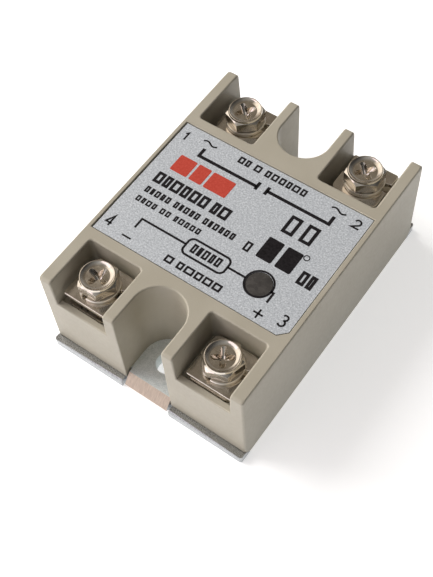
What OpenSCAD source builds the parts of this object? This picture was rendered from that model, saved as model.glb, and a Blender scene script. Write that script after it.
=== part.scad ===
// Panel-mount solid state relay in a moulded housing on a metal base plate.
// Origin: middle of the mounting face. +Z up, X across the terminals, Y along the wires.
// Terminals 1 and 2 (load) are at +Y, terminals 3 and 4 (control) are at -Y.

/* [Housing] */
// Width of the housing, across the terminals
housing_w = 45; // [44.5:0.1:46]
// Length of the housing, along the wires
housing_l = 60; // [59.8:0.1:61]
// Height of the relay, from the mounting face to the top of the walls
relay_h = 23; // [22.6:0.1:24]
// Thickness of the two long side walls
side_wall_t = 2.2; // [1.8:0.1:2.3]
// Radius of the housing's upright outer corners
corner_r = 0.5; // [0.3:0.1:1.4]

/* [Mounting] */
// Distance between the two mounting slots
mount_pitch = 47.6; // [47:0.1:48]
// Half width of a mounting slot, which is also the radius of its round end
slot_r = 5.3; // [5:0.1:5.5]
// Thickness of the wall around a mounting slot
slot_wall_t = 2.2; // [1.8:0.1:2.3]
// Radius of the mounting holes in the base plate
hole_r = 2.3; // [2.1:0.05:2.5]
// Thickness of the base plate's end flanges
flange_t = 2; // [1.6:0.1:2.2]
// Thickness of the base plate under the housing
plate_t = 3.5; // [3.2:0.1:3.7]
// Length of the base plate
plate_l = 62.8; // [62.4:0.1:64]

/* [Terminals] */
// Distance of the terminal screws from the middle, across the relay
term_x = 13.85; // [13.7:0.05:14]
// Distance of the control terminals' screws from the middle
control_y = 23.6; // [23.5:0.05:23.7]
// Distance of the load terminals' screws from the middle
load_y = 23.3; // [23.2:0.05:23.4]
// Nominal thread diameter of the terminal screws
thread_d = 4; // [3.8:0.05:4.1]
// Width of the hexagon heads across their flats
head_af = 7; // [6.6:0.1:7.4]
// Height of the screw heads
head_h = 2.8; // [2.6:0.1:3]
// How far each screw stands unscrewed at rest, for terminals 1 to 4
screw_lift = [1.4, 1.7, 0, 1.6]; // [0:0.1:2]

/* [Label] */
// Width of the label
label_w = 42.5; // [41:0.1:43]
// Length of the label
label_l = 29.8; // [29:0.1:30]
// Radius of the indicator window
window_r = 2.5; // [2:0.1:2.6]

/* [Hidden] */

eps = 0.01;
round_fn = 64;
small_fn = 32;

slot_y = mount_pitch / 2;
side_in = housing_w / 2 - side_wall_t;
slot_out = slot_r + slot_wall_t;

// The inner layout is centred a little towards the control end.
layout_y = -0.9;
pocket_back = 17.3;
pocket_in_x = 7.7;
pocket_out_x = 19.8;
pocket_corner_r = 0.9;
sill_t = 1.4;
sill_z = 16;
seat_z = 15.4;
floor_t = 1.5;
end_wall_t = 1.6;
back_wall_t = 1.8;
skirt_z = 0.3;
skirt_chamfer = 1.6;
recess_d = 0.35;
recess_gap = 0.15;
label_t = 0.2;
label_cut = 1.6;
roof_t = 2.4;
roof_z = relay_h - roof_t;

window_x = 11.45;
window_y = -8.95;
window_flange_r = 3.3;
window_flange_t = 0.7;
window_gap = 0.05;

// Indicator on the board under the window
led_r = 1.5;
led_h = 3;
led_rim_r = 1.9;
led_rim_h = 0.8;
led_stand = 3.4;
led_pitch = 2.54;

// Base plate, whose end flanges have a cut tongue between two narrow gaps
plate_side_gap = 0.05;
plate_corner_r = 0.5;
plate_end_gap = 0.1;
skirt_gap = 0.1;
ear_gap = 0.05;
tongue_w = 10;
tongue_top_y = 29.3;
tongue_end_y = 31.2;
tongue_end_z = 1.2;
tongue_foot_y = 30.2;
tongue_gap_w = 0.6;
tongue_gap_l = 3;

// Terminal stack, from the pocket floor upwards
tplate_w = 9.4;
tplate_l = 9.9;
tplate_t = 1;
tplate_corner_r = 1.5;
collar_r = 3.1;
collar_h = 2.5;
collar_gap = 0.15;
leg_w = 3.4;
leg_t = 1;
leg_gap = 0.15;
clamp_w = 9.8;
clamp_l = 9.6;
clamp_t = 1;
clamp_back_r = 1.6;
clamp_front_r = 0.4;
notch_r = 1.1;
notch_x = 3.4;
notch_shift = [-1, -1, 0.6, 0.6];
washer_gap = 0.3;
lock_r = 4;
lock_t = 1;
lock_split_w = 1.2;
thread_gap = 0.05;
shank_r = thread_d / 2 - thread_gap;
shank_l = 6;
head_crown_r = 3.4;
head_turn = [8, 5, -13, 32];
head_crown_h = 0.35;
dish_r = 2.9;
dish_d = 0.4;
cross_w = 1;
cross_l = 4.2;
cross_d = 1.9;
clamp_z = seat_z + tplate_t;
lock_z = clamp_z + clamp_t;
head_z = lock_z + lock_t;

// Power stack on the base plate
power_x = 0;
power_y = 3;
insulator_size = [22, 17, 0.6];
spreader_size = [19, 14, 1.5];
triac_size = [9, 9, 1];
insulator_z = plate_t;
spreader_z = insulator_z + insulator_size[2];
triac_z = spreader_z + spreader_size[2];
strap_w = 4;
strap_t = 1;
strap_foot = 1.5;
gate_r = 0.4;
gate_x = -3.2;
gate_y = -0.4;

// Circuit board and what stands on it
board_z = 10;
board_t = 1.6;
board_top = board_z + board_t;
board_w = 38;
board_near = 21;
board_far = 12;
board_slot_gap = 0.6;
lead_r = 0.3;
potting_gap = 0.1;

// Places of the small parts on the board, as [x, y]
opto_pos = [-3, 4.8];
input_resistor_pos = [3.5, -12];
input_diode_pos = [-12.5, -11];
transistor_pos = [-4.5, -6];
gate_resistor_pos = [-14, 7];
capacitor_pos = [11, 8];
snubber_resistor_pos = [11, 1.5];

function side(n) = (n == 1 || n == 4) ? -1 : 1;
function along(n) = n <= 2 ? 1 : -1;
function term_pos(n) = [side(n) * term_x, n <= 2 ? load_y : -control_y];

// Rectangle with four round corners, centred
module round_rect(w, l, r) {
    square([w - 2 * r, l], center = true);
    square([w, l - 2 * r], center = true);
    for (x = [-1, 1], y = [-1, 1])
        translate([x * (w / 2 - r), y * (l / 2 - r)]) circle(r, $fn = small_fn);
}

module round_slab(w, l, h, r) {
    linear_extrude(h) round_rect(w, l, r);
}

// A block given by its lowest corner and its highest corner
module span(low, high) {
    translate(low) cube(high - low);
}

// Outline of a mounting slot that opens at one end of the relay
module slot_outline(r, end, reach) {
    translate([0, end * slot_y]) circle(r, $fn = round_fn);
    translate([-r, end > 0 ? slot_y : -reach]) square([2 * r, reach - slot_y]);
}

// One terminal pocket, open at the top and over the sill at the end
module pocket(n) {
    y_back = along(n) * pocket_back + layout_y;
    y_sill = along(n) * (housing_l / 2 - sill_t);
    pocket_w = pocket_out_x - pocket_in_x;
    mid_x = side(n) * (pocket_out_x + pocket_in_x) / 2;
    translate([mid_x, (y_back + y_sill) / 2, seat_z])
        round_slab(pocket_w, abs(y_sill - y_back), relay_h, pocket_corner_r);
    translate([mid_x, along(n) * housing_l / 2, sill_z + relay_h / 2])
        cube([pocket_w, 4 * sill_t, relay_h], center = true);
}

// Holes in a pocket's floor for the terminal plate's collar and leg
module floor_holes(n) {
    translate([term_pos(n)[0], term_pos(n)[1], seat_z - floor_t - eps])
        cylinder(r = collar_r + collar_gap, h = floor_t + 2 * eps, $fn = round_fn);
    translate([term_pos(n)[0], leg_y(n), seat_z - floor_t / 2])
        cube([leg_w + 2 * leg_gap, leg_t + 2 * leg_gap, floor_t + 4 * eps], center = true);
}

function leg_y(n) = term_pos(n)[1] - along(n) * (tplate_l - leg_t) / 2;

// The hollow inside the housing, under the roof and under the pocket floors
module housing_hollow() {
    difference() {
        union() {
            span([-side_in, layout_y - pocket_back + back_wall_t, -eps],
                 [side_in, layout_y + pocket_back - back_wall_t, roof_z]);
            span([-side_in, -housing_l / 2 + end_wall_t, -eps],
                 [side_in, housing_l / 2 - end_wall_t, seat_z - floor_t]);
        }
        for (end = [-1, 1])
            translate([0, 0, plate_t]) linear_extrude(relay_h) slot_outline(slot_out, end, housing_l);
    }
}

// Side walls reach down past the base plate's long edges, with cut lower corners
module skirts() {
    half = housing_l / 2;
    intersection() {
        round_slab(housing_w, housing_l, relay_h, corner_r);
        for (left = [-housing_w / 2, side_in])
            translate([left, 0, 0]) rotate([90, 0, 90]) linear_extrude(side_wall_t)
                polygon([[-half, flange_t + skirt_chamfer], [-half, flange_t],
                         [-half + skirt_chamfer, skirt_z], [half - skirt_chamfer, skirt_z],
                         [half, flange_t], [half, flange_t + skirt_chamfer]]);
    }
}

module housing() {
    color("#AEA894") difference() {
        union() {
            translate([0, 0, flange_t])
                round_slab(housing_w, housing_l, relay_h - flange_t, corner_r);
            skirts();
        }
        housing_hollow();
        for (n = [1:4]) {
            pocket(n);
            floor_holes(n);
        }
        for (end = [-1, 1])
            translate([0, 0, -eps]) linear_extrude(relay_h + 1) slot_outline(slot_r, end, housing_l);
        translate([0, layout_y, relay_h - recess_d])
            linear_extrude(recess_d + 1) label_outline(recess_gap);
        translate([window_x, window_y, roof_z - eps])
            cylinder(r = window_r + window_gap, h = roof_t + 1, $fn = round_fn);
    }
}

// Label outline with the corner cut by terminal 3, grown all round by a gap
module label_outline(grow) {
    w = label_w / 2 + grow;
    l = label_l / 2 + grow;
    polygon([[-w, -l], [w - label_cut, -l], [w, -l + label_cut], [w, l], [-w, l]]);
}

module label() {
    color("#BEC1C5") difference() {
        translate([0, layout_y, relay_h - recess_d]) linear_extrude(label_t) label_outline(0);
        translate([window_x, window_y, roof_z])
            cylinder(r = window_r + window_gap, h = roof_t + 1, $fn = round_fn);
    }
}

module led_window() {
    color("#464442") translate([window_x, window_y, 0]) {
        translate([0, 0, roof_z - window_flange_t])
            cylinder(r = window_flange_r, h = window_flange_t, $fn = round_fn);
        translate([0, 0, roof_z - eps])
            cylinder(r = window_r, h = roof_t - recess_d + label_t + eps, $fn = round_fn);
    }
}

module indicator_led() {
    rim_z = board_top + led_stand;
    color("#C8443C") translate([window_x, window_y, 0]) {
        for (x = [-led_pitch / 2, led_pitch / 2])
            translate([x, 0, board_top]) cylinder(r = lead_r, h = rim_z - board_top + eps, $fn = small_fn);
        translate([0, 0, rim_z]) cylinder(r = led_rim_r, h = led_rim_h, $fn = small_fn);
        translate([0, 0, rim_z]) cylinder(r = led_r, h = led_h, $fn = small_fn);
        translate([0, 0, rim_z + led_h]) sphere(led_r, $fn = small_fn);
    }
}

// Base plate: thick centre inside the housing, thin end flanges with a cut tongue in each slot
module base_plate() {
    flange_w = housing_w - 2 * plate_side_gap;
    ear_y = housing_l / 2 + ear_gap;
    core_l = housing_l - 2 * (end_wall_t + plate_end_gap);
    core_w = 2 * (side_in - skirt_gap);
    color("#A9AFAF") difference() {
        union() {
            intersection() {
                round_slab(flange_w, plate_l, flange_t, plate_corner_r);
                union() {
                    span([-core_w / 2, -plate_l, 0], [core_w / 2, plate_l, flange_t]);
                    for (end = [-1, 1])
                        translate([0, end * (ear_y + flange_w / 2), flange_t / 2])
                            cube([flange_w, flange_w, flange_t], center = true);
                }
            }
            span([-core_w / 2, -core_l / 2, 0], [core_w / 2, core_l / 2, plate_t]);
        }
        for (end = [-1, 1]) {
            translate([0, end * plate_l / 2, 0])
                cube([tongue_w + 2 * tongue_gap_w, tongue_gap_l, 4 * plate_t], center = true);
            translate([0, end * slot_y, -1])
                cylinder(r = hole_r, h = plate_t + 2, $fn = round_fn);
        }
    }
    for (end = [-1, 1]) tongue(end);
}

// The tongue fills a gap in the flange: its cut end slopes down and out, and its foot back in
module tongue(end) {
    root_y = slot_y + hole_r + eps;
    color("#A9AFAF") mirror([0, end > 0 ? 0 : 1, 0])
        translate([-tongue_w / 2, 0, 0]) rotate([90, 0, 90]) linear_extrude(tongue_w)
            polygon([[root_y, 0], [tongue_foot_y, 0], [tongue_end_y, tongue_end_z],
                     [tongue_top_y, plate_t], [root_y, plate_t]]);
}

// A block centred on a point, standing on a height
module stand(pos, z, size) {
    translate([pos[0] - size[0] / 2, pos[1] - size[1] / 2, z]) cube(size);
}

module ceramic_insulator() {
    color("#E9E7DF") stand([power_x, power_y], insulator_z, insulator_size);
}

module heat_spreader() {
    color("#B87443") stand([power_x, power_y], spreader_z, spreader_size);
}

module power_triac() {
    color("#5B5F66") stand([power_x, power_y], triac_z, triac_size);
}

module gate_lead() {
    color("#B7B2A4") translate([gate_x, gate_y, triac_z + triac_size[2]])
        cylinder(r = gate_r, h = board_top + 0.6 - triac_z - triac_size[2], $fn = small_fn);
}

// Output straps: 1 lies on the heat spreader, 2 on top of the triac
function strap_z(n) = n == 1 ? triac_z : triac_z + triac_size[2];
function strap_reach(n) = n == 1 ? 5.2 : 0.6;

module output_strap(n) {
    foot_y = power_y + strap_foot;
    x = term_pos(n)[0];
    y_end = leg_y(n) + leg_t / 2;
    inner = side(n) * strap_reach(n);
    color("#B87443") {
        span([x - strap_w / 2, foot_y, strap_z(n)], [x + strap_w / 2, y_end, strap_z(n) + strap_t]);
        span([min(inner, x), foot_y, strap_z(n)], [max(inner, x), foot_y + strap_w, strap_z(n) + strap_t]);
    }
}

module circuit_board() {
    color("#3F7A4A") difference() {
        span([-board_w / 2, -board_near, board_z], [board_w / 2, board_far, board_top]);
        translate([0, 0, board_z - 1])
            linear_extrude(board_t + 2) slot_outline(slot_out + board_slot_gap, -1, housing_l);
        for (n = [3, 4])
            translate([term_pos(n)[0], leg_y(n), board_z])
                cube([leg_w + 0.2, leg_t + 0.2, 4 * board_t], center = true);
        translate([gate_x, gate_y, board_z - 1]) cylinder(r = gate_r + 0.05, h = board_t + 2, $fn = small_fn);
    }
}

// Six-legged coupler that lies across the board
module optocoupler() {
    size = [8.6, 6.4, 3.3];
    leg_pitch = 2.54;
    leg_rise = 0.5;
    color("#26272A") translate([opto_pos[0], opto_pos[1], board_top]) {
        stand([0, 0], leg_rise, size);
        for (i = [-1:1], s = [-1, 1])
            stand([i * leg_pitch, s * (size[1] / 2 + 0.4)], 0, [0.6, 0.9, 2]);
    }
}

// Round part that lies along X or Y on two bent leads
module axial_part(pos, turn, body_r, body_l, pitch) {
    axis_z = body_r + 0.3;
    translate([pos[0], pos[1], board_top]) rotate([0, 0, turn]) {
        translate([-body_l / 2, 0, axis_z]) rotate([0, 90, 0])
            cylinder(r = body_r, h = body_l, $fn = small_fn);
        translate([-pitch / 2, 0, axis_z]) rotate([0, 90, 0])
            cylinder(r = lead_r, h = pitch, $fn = small_fn);
        for (s = [-1, 1])
            translate([s * pitch / 2, 0, 0]) cylinder(r = lead_r, h = axis_z, $fn = small_fn);
    }
}

module input_resistor() {
    color("#C9B28B") axial_part(input_resistor_pos, 0, 1.25, 6.4, 9);
}

module input_diode() {
    color("#2B2B2D") axial_part(input_diode_pos, 90, 0.95, 4, 7);
}

module gate_resistor() {
    color("#8FA9BF") axial_part(gate_resistor_pos, 90, 1.1, 5.6, 8);
}

module snubber_resistor() {
    color("#C9B28B") axial_part(snubber_resistor_pos, 0, 1.4, 7, 9.6);
}

// Small three-legged transistor with one flat side
module input_transistor() {
    can_r = 2.3;
    can_h = 4.6;
    can_z = 2.2;
    flat_y = -1.3;
    color("#26272A") translate([transistor_pos[0], transistor_pos[1], board_top]) {
        translate([0, 0, can_z]) difference() {
            cylinder(r = can_r, h = can_h, $fn = small_fn);
            span([-can_r - 1, -can_r - 1, -1], [can_r + 1, flat_y, can_h + 1]);
        }
        for (x = [-1.27, 0, 1.27])
            translate([x, 0, 0]) cylinder(r = lead_r, h = can_z, $fn = small_fn);
    }
}

module snubber_capacitor() {
    color("#B4492F") {
        stand(capacitor_pos, board_top + 0.5, [12, 5, 7.6]);
        for (s = [-1, 1])
            translate([capacitor_pos[0] + s * 3.75, capacitor_pos[1], board_top])
                cylinder(r = lead_r, h = 0.5 + eps, $fn = small_fn);
    }
}

// Compound that fills the housing up to the underside of the board
module potting_compound() {
    color("#4A4A46") difference() {
        span([-side_in + potting_gap, -housing_l / 2 + end_wall_t + potting_gap, plate_t],
             [side_in - potting_gap, housing_l / 2 - end_wall_t - potting_gap, board_z]);
        for (end = [-1, 1])
            translate([0, 0, plate_t - 1])
                linear_extrude(relay_h) slot_outline(slot_out + potting_gap, end, housing_l);
        ceramic_insulator();
        heat_spreader();
        power_triac();
        gate_lead();
        for (n = [1, 2]) output_strap(n);
        for (n = [1:4]) terminal_leg(n);
    }
}

function leg_bottom(n) = n <= 2 ? strap_z(n) + strap_t : board_z - 0.6;

module terminal_leg(n) {
    translate([term_pos(n)[0] - leg_w / 2, leg_y(n) - leg_t / 2, leg_bottom(n)])
        cube([leg_w, leg_t, seat_z + tplate_t - leg_bottom(n)]);
}

// Fixed terminal plate with its drawn collar, which holds the thread, and its leg
module terminal_plate(n) {
    x = term_pos(n)[0];
    y = term_pos(n)[1];
    color("#B9B3A6") difference() {
        union() {
            translate([x, y, seat_z]) round_slab(tplate_w, tplate_l, tplate_t, tplate_corner_r);
            translate([x, y, seat_z - collar_h]) cylinder(r = collar_r, h = collar_h + eps, $fn = round_fn);
            terminal_leg(n);
        }
        translate([x, y, seat_z - collar_h - 1])
            cylinder(r = thread_d / 2, h = collar_h + tplate_t + 2, $fn = round_fn);
    }
}

// Everything above the fixed plate stands where its screw is at rest
module on_terminal(n, z) {
    translate([term_pos(n)[0], term_pos(n)[1], z + screw_lift[n - 1]]) children();
}

// Clamp washer's blank, rounder at the back than at the end the wire comes in
module clamp_blank(n) {
    round_slab(clamp_w, clamp_l, clamp_t, clamp_back_r);
    translate([0, along(n) * clamp_l / 4, 0]) round_slab(clamp_w, clamp_l / 2, clamp_t, clamp_front_r);
}

// Square clamp washer with a notch in each side, a little off its middle
module clamp_washer(n) {
    color("#C4BEB0") on_terminal(n, clamp_z) difference() {
        clamp_blank(n);
        translate([0, 0, -1]) cylinder(r = shank_r + washer_gap, h = clamp_t + 2, $fn = round_fn);
        for (s = [-1, 1]) translate([s * (notch_x + notch_r), -along(n) * notch_shift[n - 1], -1]) {
            cylinder(r = notch_r, h = clamp_t + 2, $fn = small_fn);
            translate([s > 0 ? 0 : -clamp_w, -notch_r, 0]) cube([clamp_w, 2 * notch_r, clamp_t + 2]);
        }
    }
}

// Split lock washer, with its split to the front left
module lock_washer(n) {
    split_turn = n <= 2 ? 215 : 260;
    color("#C9C3B6") on_terminal(n, lock_z) difference() {
        cylinder(r = lock_r, h = lock_t, $fn = round_fn);
        translate([0, 0, -1]) cylinder(r = shank_r + washer_gap, h = lock_t + 2, $fn = round_fn);
        rotate([0, 0, split_turn]) translate([0, -lock_split_w / 2, -1])
            cube([lock_r + 1, lock_split_w, lock_t + 2]);
    }
}

// Hexagon head with a round crown, a dish and a cross recess, on a plain shank
module terminal_screw(n) {
    color("#CFC9BC") on_terminal(n, head_z) {
        rotate([0, 0, head_turn[n - 1]]) difference() {
            union() {
                cylinder(d = head_af / cos(30), h = head_h - head_crown_h, $fn = 6);
                cylinder(r = head_crown_r, h = head_h, $fn = round_fn);
            }
            translate([0, 0, head_h - dish_d]) cylinder(r = dish_r, h = dish_d + 1, $fn = round_fn);
            for (a = [45, 135]) rotate([0, 0, a])
                translate([-cross_l / 2, -cross_w / 2, head_h - cross_d])
                    cube([cross_l, cross_w, cross_d + 1]);
        }
        translate([0, 0, -shank_l]) cylinder(r = shank_r, h = shank_l + eps, $fn = round_fn);
    }
}

housing();
base_plate();
label();
led_window();
indicator_led();
ceramic_insulator();
heat_spreader();
power_triac();
gate_lead();
output_strap(1);  // output_strap_1
output_strap(2);  // output_strap_2
circuit_board();
optocoupler();
input_resistor();
input_diode();
input_transistor();
gate_resistor();
snubber_capacitor();
snubber_resistor();
potting_compound();
terminal_plate(1);  // terminal_plate_1
terminal_plate(2);  // terminal_plate_2
terminal_plate(3);  // terminal_plate_3
terminal_plate(4);  // terminal_plate_4
clamp_washer(1);  // clamp_washer_1
clamp_washer(2);  // clamp_washer_2
clamp_washer(3);  // clamp_washer_3
clamp_washer(4);  // clamp_washer_4
lock_washer(1);  // lock_washer_1
lock_washer(2);  // lock_washer_2
lock_washer(3);  // lock_washer_3
lock_washer(4);  // lock_washer_4
terminal_screw(1);  // terminal_screw_1
terminal_screw(2);  // terminal_screw_2
terminal_screw(3);  // terminal_screw_3
terminal_screw(4);  // terminal_screw_4
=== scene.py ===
"""Looks of a panel-mount solid state relay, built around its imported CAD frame.

Shapes are made in millimetres and turned into metres when they become pieces.
+Z is up, -Y is the control end (terminals 3 and 4), +Y the load end (terminals 1 and 2).
"""

import math

import bmesh
import bpy
from mathutils import Matrix, Vector


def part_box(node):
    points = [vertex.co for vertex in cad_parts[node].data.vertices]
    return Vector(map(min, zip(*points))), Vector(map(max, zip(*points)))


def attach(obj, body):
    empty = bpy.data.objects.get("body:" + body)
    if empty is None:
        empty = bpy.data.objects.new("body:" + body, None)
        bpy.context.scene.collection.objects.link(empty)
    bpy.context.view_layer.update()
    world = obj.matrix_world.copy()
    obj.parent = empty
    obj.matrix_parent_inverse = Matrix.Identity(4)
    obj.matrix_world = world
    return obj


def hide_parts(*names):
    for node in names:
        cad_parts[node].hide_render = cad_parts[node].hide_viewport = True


MM = 0.001
TERMINALS = (1, 2, 3, 4)
ENDS = (-1, 1)
SIDES = (-1, 1)

# Camera, as fitted to the photo: it looks down on the control end from the front right
CAM_TARGET = (5.76, -14.0, 23.0)
CAM_AZIMUTH = 40.24
CAM_ELEVATION = 58.58
CAM_ROLL = -5.48
CAM_DISTANCE = 178.4
CAM_LENS = 62.8

# Housing
HOUSING_END_Y = 30.0
HOUSING_H = 23.0
SIDE_WALL = 2.2
CORNER_R = 0.5
END_BOTTOM_Z = 2.0
SKIRT_Z = 0.3
SKIRT_CUT = 1.6
SLOT_Y = 23.8
SLOT_R = 5.3
SLOT_WALL_R = 7.5
POCKET_IN_X = 7.7
POCKET_OUT_X = 19.8
POCKET_FAR_WIDER = 0.3
POCKET_NEAR_BACK = -18.2
POCKET_FAR_BACK = 16.4
POCKET_CORNER_R = 0.7
POCKET_DRAFT = 0.05
SILL_T = 1.4
SILL_Z = 16.0
SEAT_Z = 15.4
FLOOR_T = 1.5
END_WALL = 1.6
BACK_WALL = 1.8
ROOF_T = 2.4
COLLAR_HOLE_R = 3.25
COLLAR_HOLE_D = 3.0

# Label recess and the lens that shows through it
RECESS_GAP = 0.15
RECESS_D = 0.35
LABEL_CUT = 1.6
SHADOW_GAP_W = 0.3
SHADOW_GAP_D = 0.9
SHADOW_GAP_INSET = 0.02
LENS_R = 2.5
LENS_HOLE_R = 2.55
LENS_FOOT_R = 0.8
LENS_FLANGE_T = 0.7
LENS_STEPS = 64

# Rounding of the housing's edges
RIM_SIDE = 0.3
RIM_END = 0.9
RIM_DROP = 0.65
CUT_ROUND = 0.3
SILL_ROUND = 0.2
FOOT_ROUND = 0.15
RECESS_ROUND = 0.1
RIM_STEPS = 9
ROUND_STEPS = 3
END_ZONE_Y = 29.0
SILL_ZONE = 0.3
LABEL_ZONE = 0.5

# Base plate
PLATE_T = 3.5
FLANGE_T = 2.0
PLATE_CORNER_R = 0.5
HOLE_R = 2.3
CORE_X = 20.2
CORE_Y = 28.3
EAR_Y = 30.05
EAR_FOOT_Y = 28.5
FLANGE_ROUND = 0.45
TONGUE_W = 10.0
TONGUE_TOP_Y = 29.3
TONGUE_END_Y = 31.2
TONGUE_END_Z = 1.2
TONGUE_FOOT_Y = 30.2
TONGUE_GAP = 0.6
TONGUE_GAP_L = 1.5

# Screw: hexagon head with a dish and a cross recess, on a threaded shank
HEAD_AF = 7.0
HEAD_H = 2.8
HEAD_TURN = {1: 8, 2: 5, 3: -13, 4: 32}
SHOULDER_DROP = 0.5
FOOT_RISE = 0.05
FLAT_SLOPE = 0.5
RIM_R = 3.35
DISH_R = 2.4
DISH_D = 0.5
CROSS_L = 4.4
CROSS_W = 1.15
CROSS_D = 1.7
CROSS_MOUTH = 0.4
SHANK_R = 1.95
SHANK_L = 6.0
SHANK_TIP_R = 1.35
THREAD_PITCH = 0.7
THREAD_DEPTH = 0.35
THREAD_START = 0.5
THREAD_END = 0.45
SCREW_STEPS = 96
SCREW_SMOOTH = 24

# Washers under the head
LOCK_R = 4.0
LOCK_HOLE_R = 2.25
LOCK_T = 1.0
LOCK_RISE = 0.12
LOCK_CHAMFER = 0.14
LOCK_GAP = 17.0
LOCK_SPLIT = {1: 215, 2: 215, 3: 260, 4: 260}
LOCK_STEPS = 60
CLAMP_BACK_R = 1.6
CLAMP_FRONT_R = 0.4
NOTCH_X = 4.5
NOTCH_R = 1.1
NOTCH_SHIFT = {1: 1.0, 2: 1.0, 3: 0.6, 4: 0.6}

# Small rounding of the metal and label edges
SCREW_ROUND = 0.06
LOCK_ROUND = 0.05
CLAMP_ROUND = 0.14
TERMINAL_ROUND = 0.08
LABEL_ROUND = 0.04

# Cutters reach this far, past everything that they cut
OVERSHOOT = 1.0
SKIN = 0.1
ABOVE_ALL_Z = 26.0
BEYOND_X = 25.0
BEYOND_Y = 33.0

# Edges are sharp past this angle, and two places are one within this length
SHARP_ANGLE = math.radians(25)
TOUCH = 0.05

# Turns a solid whose outline was drawn in y and z, so that it runs along x
ACROSS = Matrix(((0, 0, 1, 0), (1, 0, 0, 0), (0, 1, 0, 0), (0, 0, 0, 1)))


# --- Small helpers ---------------------------------------------------------------------------


def box_mm(node):
    """Lowest and highest corner of a CAD node, in millimetres."""
    low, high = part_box(node)
    return low / MM, high / MM


def middle_mm(node):
    """Middle of a CAD node's box, in millimetres."""
    low, high = box_mm(node)
    return (low + high) / 2


def arc(x, y, r, start, end, steps):
    """Points of an arc, with angles in degrees."""
    turns = [math.radians(start + (end - start) * i / steps) for i in range(steps + 1)]
    return [(x + r * math.cos(a), y + r * math.sin(a)) for a in turns]


def disc(x, y, r, steps=48):
    """A circle's outline, anticlockwise."""
    return arc(x, y, r, 0, 360 - 360 / steps, steps - 1)


def rectangle(x0, y0, x1, y1):
    return [(x0, y0), (x1, y0), (x1, y1), (x0, y1)]


def rounded(x0, y0, x1, y1, r, steps=8):
    """A rectangle's outline with four round corners."""
    return (
        arc(x1 - r, y0 + r, r, -90, 0, steps)
        + arc(x1 - r, y1 - r, r, 0, 90, steps)
        + arc(x0 + r, y1 - r, r, 90, 180, steps)
        + arc(x0 + r, y0 + r, r, 180, 270, steps)
    )


def bridge(bm, lower, upper):
    """Faces between two closed loops of vertices."""
    for i, v in enumerate(lower):
        j = (i + 1) % len(lower)
        bm.faces.new((v, lower[j], upper[j], upper[i]))


def prism(outline, z0, z1):
    """An upright closed solid over an outline that runs anticlockwise."""
    bm = bmesh.new()
    low = [bm.verts.new((x, y, z0)) for x, y in outline]
    high = [bm.verts.new((x, y, z1)) for x, y in outline]
    bm.faces.new(low[::-1])
    bm.faces.new(high)
    bridge(bm, low, high)
    return bm


def close_stack(bm, loops):
    """Faces from each loop of vertices to the next, and over both ends."""
    bm.faces.new(loops[0][::-1])
    for lower, upper in zip(loops, loops[1:]):
        bridge(bm, lower, upper)
    bm.faces.new(loops[-1])


def stacked(outlines):
    """A closed solid through level outlines of equal length, from the bottom up."""
    bm = bmesh.new()
    close_stack(bm, [[bm.verts.new((x, y, z)) for x, y in outline] for outline, z in outlines])
    return bm


def ring(bm, steps, radius, height):
    """A ring of vertices, whose radius and height are numbers or functions of the angle."""
    made = []
    for i in range(steps):
        a = 2 * math.pi * i / steps
        r = radius(a) if callable(radius) else radius
        z = height(a) if callable(height) else height
        made.append(bm.verts.new((r * math.cos(a), r * math.sin(a), z)))
    return made


def turned(profile, steps):
    """A closed solid round the z axis, from a list of radii and heights."""
    bm = bmesh.new()
    close_stack(bm, [ring(bm, steps, radius, height) for radius, height in profile])
    return bm


def temporary(bm):
    """A short-lived object that a boolean can use."""
    mesh = bpy.data.meshes.new("temporary")
    bm.to_mesh(mesh)
    bm.free()
    obj = bpy.data.objects.new("temporary", mesh)
    bpy.context.scene.collection.objects.link(obj)
    return obj


def combined(bm, others, operation="DIFFERENCE"):
    """The solid after each of the others is taken off it, or joined to it."""
    target = temporary(bm)
    tools = [temporary(other) for other in others]
    for tool in tools:
        modifier = target.modifiers.new("tool", "BOOLEAN")
        modifier.operation = operation
        modifier.solver = "EXACT"
        modifier.object = tool
    graph = bpy.context.evaluated_depsgraph_get()
    mesh = bpy.data.meshes.new_from_object(target.evaluated_get(graph))
    result = bmesh.new()
    result.from_mesh(mesh)
    for obj in [target, *tools]:
        bpy.data.meshes.remove(obj.data)
    bpy.data.meshes.remove(mesh)
    bmesh.ops.remove_doubles(result, verts=result.verts, dist=1e-4)
    bmesh.ops.dissolve_limit(
        result, angle_limit=math.radians(0.5), verts=result.verts, edges=result.edges
    )
    return result


def piece(name, bm, body, materials, replaces=(), smooth=30):
    """Turns a shape in millimetres into a piece that rides on a body."""
    bm.transform(Matrix.Scale(MM, 4))
    mesh = bpy.data.meshes.new(name)
    bm.to_mesh(mesh)
    bm.free()
    for material in materials:
        mesh.materials.append(material)
    mesh.shade_smooth()
    mesh.set_sharp_from_angle(angle=math.radians(smooth))
    obj = bpy.data.objects.new(name, mesh)
    bpy.context.scene.collection.objects.link(obj)
    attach(obj, body)
    if replaces:
        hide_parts(*replaces)
    return obj


def round_edges(obj, width, limit="ANGLE", steps=2):
    """Rounds a piece's sharp edges, by angle or by their bevel weight."""
    modifier = obj.modifiers.new("rounding", "BEVEL")
    modifier.width = width * MM
    modifier.segments = steps
    modifier.limit_method = limit
    modifier.angle_limit = SHARP_ANGLE
    modifier.use_clamp_overlap = limit != "WEIGHT"
    weighted = obj.modifiers.new("even_normals", "WEIGHTED_NORMAL")
    weighted.keep_sharp = True


def weigh_edges(bm, roundness, widest):
    """Gives each sharp outer edge its share of the widest rounding."""
    layer = bm.edges.layers.float.new("bevel_weight_edge")
    for edge in bm.edges:
        if len(edge.link_faces) == 2 and edge.calc_face_angle_signed(0) > SHARP_ANGLE:
            a, b = (v.co for v in edge.verts)
            edge[layer] = roundness(a, b) / widest


# --- Materials -------------------------------------------------------------------------------


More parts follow.
